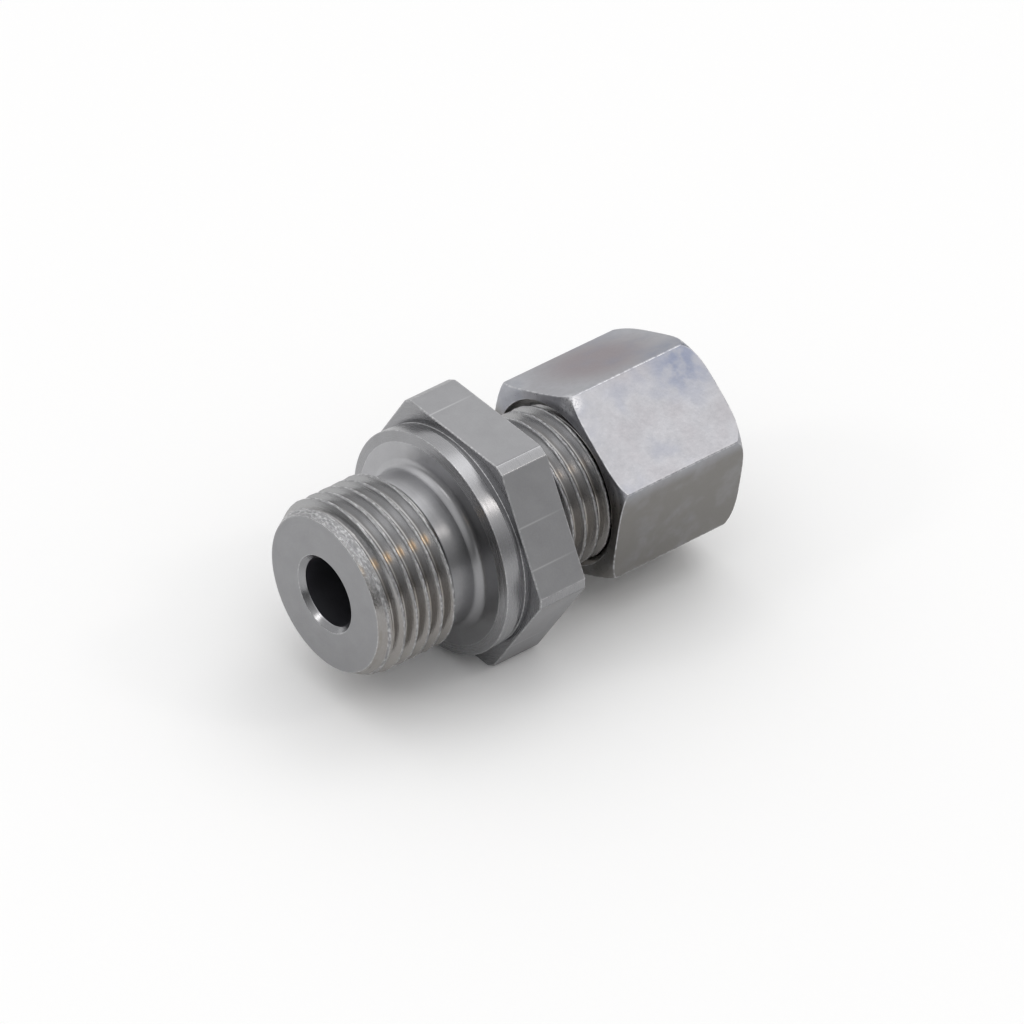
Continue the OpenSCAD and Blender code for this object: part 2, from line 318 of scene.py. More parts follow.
def carried_profile(corners, turn):
    """Rows of a closed profile that is carried round the axis.

    The profile is the polyline through the corners, whose x and r may change with the
    direction. At a corner with fillet f and inner angle g, the arc of radius f is tangent to
    both sides: it begins and ends f / tan(g/2) from the corner, and runs between the two
    radius vectors by the sine rule for turning one into the other. A straight stretch is
    divided evenly by its corner's step. Returns x and r as [row, column], each row's finish
    and whether it lies on a small rounded edge.
    """
    points = [np.stack(np.broadcast_arrays(c.x, c.r, turn)[:2], -1) for c in corners]
    arcs = []
    for i, corner in enumerate(corners):
        here = points[i]
        back = unit(points[i - 1] - here)
        ahead = unit(points[(i + 1) % len(points)] - here)
        if corner.fillet == 0:
            arcs.append(here[None])
            continue
        inner = np.arccos(np.sum(back * ahead, -1, keepdims=True))
        reach = corner.fillet / np.tan(inner / 2)
        centre = here + unit(back + ahead) * corner.fillet / np.sin(inner / 2)
        first = here + back * reach - centre
        last = here + ahead * reach - centre
        sweep = math.pi - inner
        parts = max(2, math.ceil(float(sweep.max()) / ARC_STEP))
        t = np.linspace(0, 1, parts + 1)[:, None, None]
        arc = (np.sin((1 - t) * sweep) * first + np.sin(t * sweep) * last) / np.sin(sweep)
        arcs.append(centre + arc)
    rows, finishes, worn = [], [], []
    for i, corner in enumerate(corners):
        before = corners[i - 1].finish
        count = len(arcs[i])
        small = 0 < corner.fillet < WORN_EDGE
        for k, row in enumerate(arcs[i]):
            rows.append(row)
            finishes.append(before if 2 * k < count - 1 else corner.finish)
            worn.append(small)
        start, end = arcs[i][-1], arcs[(i + 1) % len(arcs)][0]
        span = float(np.linalg.norm(end - start, axis=-1).max())
        t = np.linspace(0, 1, max(1, math.ceil(span / corner.step)) + 1)[1:-1]
        if corner.finish not in EVEN and span > 4 * SUPPORT:
            near = SUPPORT / span
            t = np.concatenate([[near], t[(t > 2 * near) & (t < 1 - 2 * near)], [1 - near]])
        for share in t:
            rows.append(start + (end - start) * share)
            finishes.append(corner.finish)
            worn.append(False)
    grid = np.stack(rows)
    return grid[..., 0], grid[..., 1], np.array(finishes), np.array(worn)


def crest_distance(x, turn, pitch, start):
    """Distance along the axis from the middle of the nearest crest of a right-hand thread.

    The crest's middle lies where x = start + pitch * turn / full circle, plus whole pitches.
    """
    phase = (x - start) / pitch - turn / (2 * math.pi)
    return np.abs((phase + 0.5) % 1 - 0.5) * pitch


def outer_thread(x, turn, crest_r, depth, crest_w, pitch, start):
    """Radius of an external 60 degree thread: a flat crest, straight flanks, a round root."""
    fall = FLANK_SLOPE * (crest_distance(x, turn, pitch, start) - crest_w / 2)
    fall = soft_max(fall, 0.0, CREST_BLEND)
    return crest_r - soft_min(fall, depth, ROOT_BLEND)


def inner_thread(x, turn, root_r, crest_r, crest_w, gap, pitch, start):
    """Radius of the internal thread that runs on outer_thread, with a gap beside its flanks."""
    fall = FLANK_SLOPE * (crest_distance(x, turn, pitch, start) - crest_w / 2 - gap)
    return np.maximum(root_r - soft_max(fall, 0.0, NUT_BLEND), crest_r)


def hexagon_radius(turn, flat_turn, flat, round_off):
    """Distance from the axis to a hexagon whose corners are rounded.

    Beside a flat's middle it is flat / cos(a). Near a corner it meets the circle of radius
    round_off that touches both flats: with its centre at d on the corner's direction and b
    the angle from there, that is d cos b + sqrt(round_off^2 - d^2 sin^2 b).
    """
    a = np.abs(from_flat(turn, flat_turn))
    b = math.pi / 6 - a
    d = (flat - round_off) / COS30
    round_part = d * np.cos(b) + np.sqrt(np.maximum(round_off**2 - (d * np.sin(b))**2, 0))
    limit = math.atan((flat - round_off) * math.tan(math.pi / 6) / flat)
    return np.where(a < limit, flat / np.cos(a), round_part)


def ripple(turn, x, waves, seed, low, high, along):
    """Uneven wear from -1 to 1 round the axis: a mean of sines that close after one turn.

    Each wave is sin(n turn + m x + p), with a whole number n of waves between low and high,
    m up to along, and a phase p.
    """
    draw = np.random.default_rng(seed)
    total = 0
    for _ in range(waves):
        n = draw.integers(low, high)
        total = total + np.sin(n * turn + draw.uniform(-along, along) * x
                               + draw.uniform(0, 2 * math.pi))
    return total / math.sqrt(waves)


def lathe_mesh(name, x, r, turn, layers):
    """Closed mesh of rows round the X axis: a point is (x, r cos turn, r sin turn).

    The rows close on each other through the bore and the columns close round the axis, so
    the surface has no pole and no seam. The rows run towards +X on the outside and back
    through the bore, so a face's corners go along its row first to make it point outwards.
    layers are named values for the materials.
    """
    x, r, turn = np.broadcast_arrays(x, r, turn)
    points = np.stack([x, r * np.cos(turn), r * np.sin(turn)], -1).reshape(-1, 3)
    here = np.arange(x.size).reshape(x.shape)
    beside = np.roll(here, -1, axis=1)
    ahead = np.roll(here, -1, axis=0)
    across = np.roll(ahead, -1, axis=1)
    faces = np.stack([here, beside, across, ahead], -1).reshape(-1, 4)
    mesh = bpy.data.meshes.new(name)
    mesh.from_pydata(points.tolist(), [], faces.tolist())
    mesh.polygons.foreach_set("use_smooth", np.ones(len(faces), bool))
    for layer, values in layers.items():
        values = np.broadcast_to(values, x.shape).astype(np.float32).ravel()
        mesh.attributes.new(layer, "FLOAT", "POINT").data.foreach_set("value", values)
    mesh.update()
    piece = bpy.data.objects.new(name, mesh)
    bpy.context.scene.collection.objects.link(piece)
    return piece


def finish_layers(finishes, worn):
    """One layer of ones and zeros for each finish, and one for the worn edges."""
    layers = {name: (finishes == name).astype(float)[:, None] for name in FINISHES}
    layers["edge"] = worn.astype(float)[:, None]
    return layers


def body_corners(s, hexagon):
    """Corners of the body's section, from the bore's countersink round the outside."""
    row = s.pitch / THREAD_ROWS
    stud_end = -s.stud_len
    stud_r, end_r, bore_r = s.stud_d / 2, s.end_d / 2, s.bore_d / 2
    relief_r = stud_r - s.relief_depth
    collar_r = s.collar_d / 2
    seal_r = collar_r - s.bevel_w
    neck_r = collar_r - s.neck_depth
    hex_x = s.collar_w + s.neck_w
    hex_end = hex_x + s.hex_w
    groove_r = end_r - s.groove_depth
    groove_end = hex_end + s.groove_w
    end_x = BODY_BOX[1].x
    socket_r = s.tube_d / 2 + s.socket_clear
    stop_x = end_x - s.socket_depth
    cone_x = end_x - (s.mouth_d / 2 - socket_r) / math.tan(s.cone_angle / 2)
    return [
        Corner(stud_end, bore_r + s.bore_chamfer, 0.05 * MM, 0.6 * MM, "faced"),
        Corner(stud_end, stud_r - s.stud_chamfer, 0.07 * MM, row, "thread"),
        Corner(stud_end + s.stud_chamfer / math.tan(s.stud_angle), stud_r, 0, row, "thread"),
        Corner(-s.relief_len, stud_r, 0, row, "thread"),
        Corner(-s.relief_len + s.relief_depth / 2, relief_r, 0.3 * MM, 0.3 * MM, "shine"),
        Corner(0, relief_r, s.relief_fillet, 0.25 * MM, "shine"),
        Corner(0, seal_r, 0.05 * MM, 0.25 * MM, "turned"),
        Corner(s.bevel_h, collar_r, 0.06 * MM, 0.25 * MM, "turned"),
        Corner(s.collar_w, collar_r, 0.1 * MM, 0.15 * MM, "turned"),
        Corner(s.collar_w, neck_r, 0.06 * MM, 0.2 * MM, "turned"),
        Corner(hex_x, neck_r, 0.08 * MM, 0.5 * MM, "turned"),
        Corner(hex_x, hexagon, 0.12 * MM, 0.4 * MM, "drawn"),
        Corner(hex_end, hexagon, 0.12 * MM, 0.8 * MM, "turned"),
        Corner(hex_end, groove_r, 0.25 * MM, 0.35 * MM, "turned"),
        Corner(groove_end, groove_r, 0.2 * MM, row, "thread"),
        Corner(groove_end + s.groove_depth / 2, end_r, 0, row, "thread"),
        Corner(end_x - s.end_chamfer, end_r, 0, row, "thread"),
        Corner(end_x, end_r - s.end_chamfer, 0.07 * MM, 0.3 * MM, "turned"),
        Corner(end_x, s.mouth_d / 2, 0.05 * MM, 0.8 * MM, "bored"),
        Corner(cone_x, socket_r, 0.2 * MM, 0.6 * MM, "bored"),
        Corner(stop_x, socket_r, 0.1 * MM, 0.5 * MM, "bored"),
        Corner(stop_x, bore_r, 0.1 * MM, 2.5 * MM, "bored"),
        Corner(stud_end + s.bore_chamfer, bore_r, 0.04 * MM, 0.2 * MM, "turned"),
    ]


def make_body(s):
    """The body as one closed lathe surface, with its hexagon and both threads cut."""
    flat = s.hex_af / 2
    corner_r = flat / COS30 - s.hex_corner
    break_at = math.degrees(math.acos(flat / corner_r))
    turn = sector_turns(90, [
        (-break_at + BODY_NEAR, 26),
        (break_at - BODY_NEAR, 1),
        (break_at, 1),
        (break_at + BODY_NEAR, 4),
        (60 - break_at - BODY_NEAR, 1),
        (60 - break_at, 1),
    ])
    off_flat = np.abs(from_flat(turn, math.radians(90)))
    hexagon = soft_min(flat / np.cos(off_flat), corner_r, 0.02 * MM)
    x, r, finishes, worn = carried_profile(body_corners(s, hexagon), turn)
    layers = finish_layers(finishes, worn)
    threaded = (finishes == "thread")[:, None]
    on_stud = x < 0
    blank_r = np.where(on_stud, s.stud_d / 2, s.end_d / 2)
    start = np.where(on_stud, s.stud_start, s.end_start)
    cut = outer_thread(x, turn, blank_r, s.thread_depth, s.crest_w, s.pitch, start)
    off_crest = crest_distance(x, turn, s.pitch, start)
    first = smooth_step(*FIRST_TURN, x + s.stud_len)
    wear = ripple(turn, x, waves=9, seed=11, low=5, high=40, along=900) + 1
    burr = ripple(turn, x, waves=9, seed=23, low=30, high=90, along=2500) + 1
    crest = 1 - smooth_step(*CREST_BAND, off_crest)
    cut = cut - crest * (CREST_WEAR * wear + (CREST_BURR + FIRST_BURR * first) * burr)
    depth = np.clip((blank_r - cut) / s.thread_depth, 0, 1)
    r = np.where(threaded, np.minimum(r, cut), r)
    layers["crest"] = np.where(threaded, crest, 0)
    layers["valley"] = np.where(threaded, depth, 0)
    on_flat = off_flat < math.radians(break_at)
    layers["corner"] = layers["drawn"] * ~on_flat
    layers["drawn"] = layers["drawn"] * on_flat
    return lathe_mesh("fitting_body", x, r, turn, layers)


def make_ring(s):
    """The cutting ring: two inner edges, a nose, a stop collar and a 45 degree rear end."""
    turn = np.linspace(0, 2 * math.pi, 180, endpoint=False)
    start, end = RING_BOX[0].x, RING_BOX[1].x
    tip_r = s.edge_r + s.tip_wall
    nose_end = start + s.nose_len
    nose_r = tip_r + s.nose_len * math.tan(s.nose_angle)
    collar_r = s.collar_d / 2
    rear_r = s.edge_r + s.rear_wall
    relief_r = s.edge_r + s.edge_relief
    bore_r = s.edge_r + s.bore_clear
    small, step = 0.03 * MM, 0.4 * MM
    corners = [
        Corner(start, s.edge_r, 0.01 * MM, step, "turned"),
        Corner(start, tip_r, small, step, "turned"),
        Corner(nose_end, nose_r, 2 * small, step, "turned"),
        Corner(nose_end, collar_r, 3 * small, step, "turned"),
        Corner(end - (collar_r - rear_r), collar_r, 3 * small, step, "turned"),
        Corner(end, rear_r, 2 * small, step, "turned"),
        Corner(end, bore_r, small, 2 * step, "bored"),
        Corner(start + 2 * s.edge_pitch, bore_r, small, step, "bored"),
        Corner(start + 2 * s.edge_pitch - s.edge_relief, relief_r, small, step, "bored"),
        Corner(start + s.edge_pitch + 2 * s.edge_relief, relief_r, small, step, "bored"),
        Corner(start + s.edge_pitch, s.edge_r, 0.01 * MM, step, "bored"),
        Corner(start + s.edge_pitch, relief_r, small, step, "bored"),
        Corner(start + 2 * s.edge_relief, relief_r, small, step, "bored"),
    ]
    x, r, finishes, worn = carried_profile(corners, turn)
    return lathe_mesh("fitting_cutting_ring", x, r, turn, finish_layers(finishes, worn))


def rounding(face_x, face_r, round_len, outer_r, hexagon):
    """Points of the rounding from the circle face_r on a flat face out to the hexagon.

    It is a quarter of an ellipse, x = face_x + round_len (1 - cos t) and
    r = face_r + (outer_r - face_r) sin t, up to the t at which r is the hexagon's radius.
    The last stretch is left long enough for the small round of the hexagon's edge.
    """
    height = hexagon - face_r
    tail = np.minimum(0.5 * height, 0.15 * MM)
    t_hexagon = np.arcsin(height / (outer_r - face_r))
    t_tail = np.arcsin((height - tail) / (outer_r - face_r))
    turns = [t_tail * share for share in np.linspace(0, 1, 8)] + [t_hexagon]
    return [(face_x + round_len * (1 - np.cos(t)), face_r + (outer_r - face_r) * np.sin(t))
            for t in turns]


def nut_corners(s, body, hexagon):
    """Corners of the nut's section, from the mouth of its thread round the outside.

    The rounding of each end meets the hexagon lower at a flat's middle than at a corner, so
    that edge curves along each flat.
    """
    row = body.pitch / THREAD_ROWS
    front, rear = NUT_BOX[0].x, NUT_BOX[1].x
    mouth_r = s.thread_r + s.mouth_chamfer
    outer_r = s.nut_af / 2 / COS30 + s.past_corner
    front_round = rounding(front, s.front_d / 2, s.front_round, outer_r, hexagon)
    rear_round = rounding(rear, s.rear_d / 2, -s.rear_round, outer_r, hexagon)[::-1]
    shoulder_x = front + s.shoulder
    chamber_end = shoulder_x - (s.chamber_r - s.hole_r)
    thread_end = front + s.thread_len
    return [
        Corner(front, mouth_r, 0.06 * MM, 0.2 * MM, "turned"),
        *(Corner(x, r, 0, MM, "round") for x, r in front_round[:-1]),
        Corner(*front_round[-1], 0.08 * MM, 0.5 * MM, "drawn"),
        Corner(*rear_round[0], 0.09 * MM, MM, "round"),
        *(Corner(x, r, 0, MM, "round") for x, r in rear_round[1:-1]),
        Corner(*rear_round[-1], 0, 0.5 * MM, "turned"),
        Corner(rear, s.hole_r + s.hole_chamfer, 0.08 * MM, 0.2 * MM, "turned"),
        Corner(rear - s.hole_chamfer, s.hole_r, 0.05 * MM, 0.6 * MM, "bored"),
        Corner(shoulder_x, s.hole_r, 0.08 * MM, 0.5 * MM, "bored"),
        Corner(chamber_end, s.chamber_r, 0.2 * MM, 0.5 * MM, "bored"),
        Corner(thread_end, s.chamber_r, 0, row, "thread"),
        Corner(front + mouth_r - s.thread_crest_r, s.thread_crest_r, 0, row, "thread"),
    ]


def make_nut(s, body):
    """The union nut as one closed lathe surface, with its hexagon and its thread cut."""
    flat = s.nut_af / 2
    flat_turn = math.pi / 6 + math.pi / 2 + s.nut_turn
    limit = math.degrees(math.atan((flat - s.corner_round) * math.tan(math.pi / 6) / flat))
    turn = sector_turns(math.degrees(flat_turn), [
        (-limit + NUT_NEAR, 26),
        (limit - NUT_NEAR, 1),
        (limit, 6),
        (60 - limit, 1),
    ])
    hexagon = hexagon_radius(turn, flat_turn, flat, s.corner_round)
    x, r, finishes, worn = carried_profile(nut_corners(s, body, hexagon), turn)
    layers = finish_layers(finishes, worn)
    threaded = (finishes == "thread")[:, None]
    cut = inner_thread(x, turn, s.thread_r, s.thread_crest_r, body.crest_w, s.thread_gap,
                       body.pitch, body.end_start)
    thread_end = NUT_BOX[0].x + s.thread_len
    run_out = smooth_step(thread_end, thread_end - body.pitch, x)
    cut = s.thread_crest_r + (cut - s.thread_crest_r) * run_out
    r = np.where(threaded, np.maximum(r, cut), r)
    layers["valley"] = np.where(threaded, (r - s.thread_crest_r)
                                / (s.thread_r - s.thread_crest_r), 0)
    corner = np.abs(from_flat(turn, flat_turn)) > math.radians(limit)
    layers["edge"] = np.maximum(layers["edge"], layers["drawn"] * corner)
    return lathe_mesh("fitting_union_nut", x, r, turn, layers)


class Tree:
    """The nodes of a material or world, with a short call for each kind that returns a socket."""

    def __init__(self, owner):
        self.owner = owner
        owner.use_nodes = True
        self.nodes, self.links = owner.node_tree.nodes, owner.node_tree.links
        self.nodes.clear()

    def add(self, kind, values, **settings):
        """A node of that kind; values are sockets or numbers by the input's name or index."""
        node = self.nodes.new(kind)
        for key, value in settings.items():
            setattr(node, key, value)
        for key, value in values.items():
            if isinstance(value, bpy.types.NodeSocket):
                self.links.new(value, node.inputs[key])
            else:
                node.inputs[key].default_value = value
        return node

    def math(self, operation, a, b=0.0, c=0.0):
        """a and b, and c where the operation takes three."""
        node = self.add("ShaderNodeMath", {}, operation=operation)
        for socket, value in zip(node.inputs, (a, b, c)):
            if isinstance(value, bpy.types.NodeSocket):
                self.links.new(value, socket)
            else:
                socket.default_value = value
        return node.outputs[0]

    def layers(self, *names):
        """Layers of the mesh."""
        return [self.add("ShaderNodeAttribute", {}, attribute_name=name).outputs["Fac"]
                for name in names]

    def product(self, *values):
        """All the values multiplied."""
        total = values[0]
        for value in values[1:]:
            total = self.math("MULTIPLY", total, value)
        return total

    def total(self, value, *parts):
        """value plus each part times its share; parts are pairs."""
        for part, share in parts:
            value = self.math("MULTIPLY_ADD", part, share, value)
        return value

    def about_zero(self, noise):
        """A noise less its mean."""
        return self.math("SUBTRACT", noise, 0.5)

    def spread(self, value, low, high, out_low=0.0, out_high=1.0):
        """value from low to high, as out_low to out_high, held at both ends."""
        return self.add("ShaderNodeMapRange", {"Value": value, "From Min": low, "From Max": high,
                                               "To Min": out_low, "To Max": out_high},
                        interpolation_type="SMOOTHSTEP").outputs["Result"]

    def noise(self, vector, scale, detail=3.0, roughness=0.5, w=None):
        """Noise about 0.5. With w it has four dimensions."""
        values = {"Vector": vector, "Scale": scale, "Detail": detail, "Roughness": roughness}
        if w is not None:
            values["W"] = w
        size = "3D" if w is None else "4D"
        return self.add("ShaderNodeTexNoise", values, noise_dimensions=size).outputs[0]

    def line(self, value, place, width):
        """One on a narrow line where the value is at that place, and zero beyond its width."""
        return self.spread(self.math("ABSOLUTE", self.math("SUBTRACT", value, place)), width, 0.0)

    def near(self, at, point, inner, outer):
        """One within inner of a point, and zero beyond outer."""
        away = self.add("ShaderNodeVectorMath", {0: at, 1: point}, operation="DISTANCE")
        return self.spread(away.outputs["Value"], outer, inner)

    def mix(self, share, a, b, blend="MIX"):
        """Colour a turned into colour b by a share."""
        node = self.add("ShaderNodeMix", {0: share}, data_type="RGBA", blend_type=blend)
        for socket, value in ((node.inputs[6], a), (node.inputs[7], b)):
            if isinstance(value, bpy.types.NodeSocket):
                self.links.new(value, socket)
            else:
                socket.default_value = (*value, 1.0)
        return node.outputs[2]

    def shaded(self, tint, value):
        """A colour times a value."""
        grey = self.add("ShaderNodeCombineColor", {0: value, 1: value, 2: value}).outputs[0]
        return self.mix(1.0, tint, grey, "MULTIPLY")

    def place(self):
        """Place on the object in millimetres: the vector, x, y, z and the radius."""
        at = self.add("ShaderNodeTexCoord", {}).outputs["Object"]
        scaled = self.add("ShaderNodeVectorMath", {0: at, "Scale": 1 / MM}, operation="SCALE")
        at = scaled.outputs[0]
        parts = self.add("ShaderNodeSeparateXYZ", {0: at}).outputs
        across = self.math("MULTIPLY_ADD", parts[1], parts[1],
                           self.math("MULTIPLY", parts[2], parts[2]))
        return at, parts[0], parts[1], parts[2], self.math("SQRT", across)

    def grooves(self, x, y, z, r, per_mm, change):
        """Turning marks: noise that is fine along the profile and slow round the axis."""
        vector = self.add("ShaderNodeCombineXYZ", {
            0: self.math("MULTIPLY", x, per_mm),
            1: self.math("MULTIPLY", r, per_mm),
            2: self.math("MULTIPLY", y, change)}).outputs[0]
        return self.noise(vector, 1.0, 3.0, 0.6, w=self.math("MULTIPLY", z, change))

    def bump(self, height, distance, normal=None):
        """Normal bent by a height; distance is the height of one, in metres."""
        values = {"Height": height, "Distance": distance, "Strength": 1.0}
        if normal is not None:
            values["Normal"] = normal
        return self.add("ShaderNodeBump", values).outputs[0]

    def metal(self, base, roughness, normal):
        """Ends a material's tree with a metal, and returns the material."""
        shader = self.add("ShaderNodeBsdfPrincipled", {
            "Base Color": base, "Metallic": 1.0, "Roughness": roughness, "Normal": normal})
        self.add("ShaderNodeOutputMaterial", {"Surface": shader.outputs[0]})
        return self.owner


def material_tree(name):
    """An empty tree of a new material."""
    return Tree(bpy.data.materials.new(name))


def die_lines(t, x, y, z):
    """One on the fine lines along the body's flats, which fade towards the tube end.

    A line lies where the way across its flat is the line's place.
    """
    lines = 0.0
    for degrees, place in DIE_LINES:
        c, k = math.cos(math.radians(degrees)), math.sin(math.radians(degrees))
        height = t.math("MULTIPLY_ADD", z, c, t.math("MULTIPLY", y, -k))
        across = t.math("MULTIPLY_ADD", z, -k, t.math("MULTIPLY", y, -c))
        on_flat = t.math("GREATER_THAN", height, ON_FLAT)
        lines = t.total(lines, (t.line(across, place, 0.14), on_flat))
    return t.product(lines, t.spread(x, 8.6, 4.0, 0.1, 1.0))


def body_steel(finish):
    """Satin turned steel: matt drawn flats, rough crests, roots darkened partly by an oily film
    and partly by painted shade, and painted light and shade round the relief and in the roots.
    """
    t = material_tree("satin_turned_steel")
    at, x, y, z, r = t.place()
    crest, valley, drawn, faced, shine, bored, edge, thread, corner = t.layers(
        "crest", "valley", "drawn", "faced", "shine", "bored", "edge", "thread", "corner")
    # The stud's rubbed lead-in, fading out towards the bottom: worn steel, with its bright dashes
    # a painted highlight on top
    lead = t.product(thread, t.product(t.spread(x, *LEAD_IN), t.spread(z, 2.5, 7.5, 0.1, 1.0)))
    sunk = t.product(t.spread(r, *COUNTERSINK_R), t.spread(x, *COUNTERSINK_X))
    aside = t.math("MULTIPLY_ADD", z, math.sin(LIGHT_TURN),
                   t.math("MULTIPLY", y, math.cos(LIGHT_TURN)))
    fine = t.grooves(x, y, z, r, 9.0, 0.10)
    coarse = t.grooves(x, y, z, r, 2.6, 0.05)
    ticks = t.grooves(x, y, z, r, 1.5, 0.3)
    dashes = t.spread(t.grooves(x, y, z, r, 4.5, 2.4), 0.44, 0.62)
    grain = t.noise(at, 7.0, 4.0, 0.6)
    cloud = t.noise(at, 0.45, 3.0, 0.55)
    speck = t.spread(t.noise(at, 4.2, 3.0, 0.7), 0.46, 0.64)

    # The steel, uneven, with painted light and shade round the relief (lighter over the top,
    # darker on the front), and the brighter flanks of the threads
    shade = t.total(0.89, (drawn, 0.06), (cloud, 0.22), (t.about_zero(grain), 0.20))
    base = t.shaded(tuple(finish.steel), shade)
    relief_light_and_shade = t.product(t.spread(aside, 2.2, 6.0, 0.78, 1.35),
                      t.spread(aside, -5.0, -3.0, 1.28, 1.0))
    base = t.mix(shine, base, t.shaded(base, relief_light_and_shade))
    base = t.mix(t.product(thread, 0.9), base, tuple(finish.thread))
    # The darker roots, partly an oily film and partly painted shade that deepens lower down, and
    # painted shade low on the threads, darker towards the bottom; then the painted glints where
    # the small light stands in the roots
    film = t.product(t.spread(valley, 0.55, 1.0), t.spread(cloud, 0.35, 0.6, 0.4, 0.9),
                     t.spread(z, 8.5, 3.0, 0.3, 1.0))
    low = t.product(thread, t.spread(z, 7.5, 0.0, 0.0, 0.65))
    base = t.mix(t.math("MAXIMUM", film, low), base, tuple(finish.valley))
    # Painted highlight: warm glints in the roots along the line where the small light is mirrored,
    # on the upper side and stronger on the stud
    glint = t.product(t.product(t.line(aside, 0.0, 0.9), t.spread(z, 1.0, 4.0)),
                    t.product(thread, t.spread(valley, 0.4, 0.9)),
                    t.spread(x, -4.0, 8.0, 0.75, 0.2))
    base = t.mix(glint, base, tuple(finish.glint))
    # Rubbed crests, the rubbed lead-in with its painted highlight on top, worn edges and the lines
    # on the flats
    rubbed = t.mix(dashes, tuple(finish.unrubbed), tuple(finish.rubbed))
    base = t.mix(t.product(crest, 0.85), base, rubbed)
    base = t.mix(t.product(lead, 0.5), base, rubbed)
    worn = t.product(edge, t.total(0.15, (speck, 0.8)))
    base = t.mix(worn, base, tuple(finish.worn))
    base = t.mix(t.product(die_lines(t, x, y, z), 0.6), base, tuple(finish.worn))
    # Painted shade on the bore's wall
    base = t.mix(bored, base, tuple(finish.bore))

    rough = t.total(0.27, (t.about_zero(fine), 0.16), (drawn, 0.16), (faced, 0.14), (crest, 0.08),
                    (bored, 0.18), (sunk, -0.06), (shine, 0.04),
                    (t.product(thread, valley), -0.08))

    # Turning marks where the steel is turned, ticks on the hexagon's corners, then the grain
    plain = t.math("SUBTRACT", 1.0, t.math("MAXIMUM", drawn, t.product(faced, 0.8)))
    marks = t.product(t.total(fine, (coarse, 1.4)), plain)
    height = t.total(marks, (t.product(ticks, corner), 9.0))
    normal = t.bump(height, 0.006 * MM)
    rugged = t.total(0.35, (drawn, 0.5), (crest, 3.0), (lead, 2.5))
    normal = t.bump(t.product(grain, rugged), 0.006 * MM, normal)
    burrs = t.product(t.math("ADD", speck, dashes), t.math("MAXIMUM", crest, lead))
    return t.metal(base, rough, t.bump(burrs, 0.02 * MM, normal))


def ring_steel(finish):
    """Dark hardened steel with turning marks."""
    t = material_tree("dark_ring_steel")
    at, x, y, z, r = t.place()
    edge, = t.layers("edge")
    fine = t.grooves(x, y, z, r, 9.0, 0.12)
    cloud = t.noise(at, 0.8, 3.0, 0.55)
    base = t.shaded(tuple(finish.ring), t.total(0.8, (cloud, 0.4)))
    base = t.mix(t.product(edge, 0.5), base, tuple(finish.ring_worn))
    return t.metal(base, t.total(0.22, (fine, 0.18)), t.bump(fine, 0.006 * MM))


def nut_zinc(finish):
    """Bright zinc plate: speckled, with a faint bluish and rosy passivation film, and painted
    shade on its lower faces.
    """
    t = material_tree("zinc_plate")
    at, x, y, z, r = t.place()
    drawn, edge, bored, valley = t.layers("drawn", "edge", "bored", "valley")
    fine = t.grooves(x, y, z, r, 9.0, 0.10)
    grain = t.noise(at, 5.0, 5.0, 0.65)
    cloud = t.noise(at, 0.35, 3.0, 0.55)
    blotch = t.noise(at, 1.6, 3.0, 0.6)
    tones = t.noise(at, 0.28, 2.0, 0.5, w=3.0)
    stain = t.noise(at, 0.8, 2.0, 0.5)

    shade = t.total(0.88, (cloud, 0.24), (t.about_zero(blotch), 0.26), (t.about_zero(grain), 0.30))
    base = t.shaded(tuple(finish.zinc), shade)
    rose = t.math("MAXIMUM", t.product(t.spread(tones, 0.45, 0.75), 0.22),
                  t.near(at, ROSE_AT, 2.0, 8.0))
    base = t.mix(rose, base, tuple(finish.film_rose))
    blue = t.math("MAXIMUM", t.product(t.spread(tones, 0.52, 0.28), 0.35),
                  t.product(t.near(at, BLUE_AT, 0.6, 5.2), t.spread(stain, 0.3, 0.65, 0.35, 1.0)))
    base = t.mix(blue, base, tuple(finish.film_blue))
    # Painted shade: the nut's lower faces darker and brownish, then the whole nut darker towards
    # the bottom
    painted_lower_shade = t.product(t.spread(z, 4.6, 2.6), t.spread(cloud, 0.2, 0.55, 0.6, 1.0))
    base = t.mix(painted_lower_shade, base, tuple(finish.lower_shade_tint))
    base = t.shaded(base, t.spread(z, 3.5, -5.0, 1.0, 0.92))
    # Chipped, worn zinc at the front corner, which also serves as a painted highlight there
    chips_and_glint = t.product(t.near(at, CHIPS_AND_GLINT_AT, 0.5, 1.5), t.spread(grain, 0.38, 0.5))
    worn = t.math("MAXIMUM", t.product(edge, t.spread(blotch, 0.40, 0.60, 0.15, 0.8)), chips_and_glint)
    base = t.mix(worn, base, tuple(finish.zinc_worn))
    # Painted shade in the nut's bores
    base = t.mix(t.product(bored, 0.6), base, tuple(finish.zinc_bore_shade))
    # Darker roots of the nut's thread: partly an oily film, partly painted shade
    base = t.mix(t.product(t.spread(valley, 0.3, 1.0), 0.6), base, tuple(finish.valley))

    rough = t.total(0.30, (t.about_zero(grain), 0.2), (drawn, 0.04))
    normal = t.bump(t.product(fine, t.math("SUBTRACT", 1.0, drawn)), 0.006 * MM)
    normal = t.bump(grain, 0.004 * MM, normal)
    return t.metal(base, rough, t.bump(blotch, 0.012 * MM, normal))


def place_piece(piece, material, body, node):
    """Gives the piece its finish and lets it stand for its node on that body."""
    piece.data.materials.append(material)
    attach(piece, body)
    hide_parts(node)


def direction_to(azimuth, elevation):
    """Unit vector from the object towards that azimuth and height angle."""
    return Vector((math.sin(azimuth) * math.cos(elevation),
                   -math.cos(azimuth) * math.cos(elevation), math.sin(elevation)))


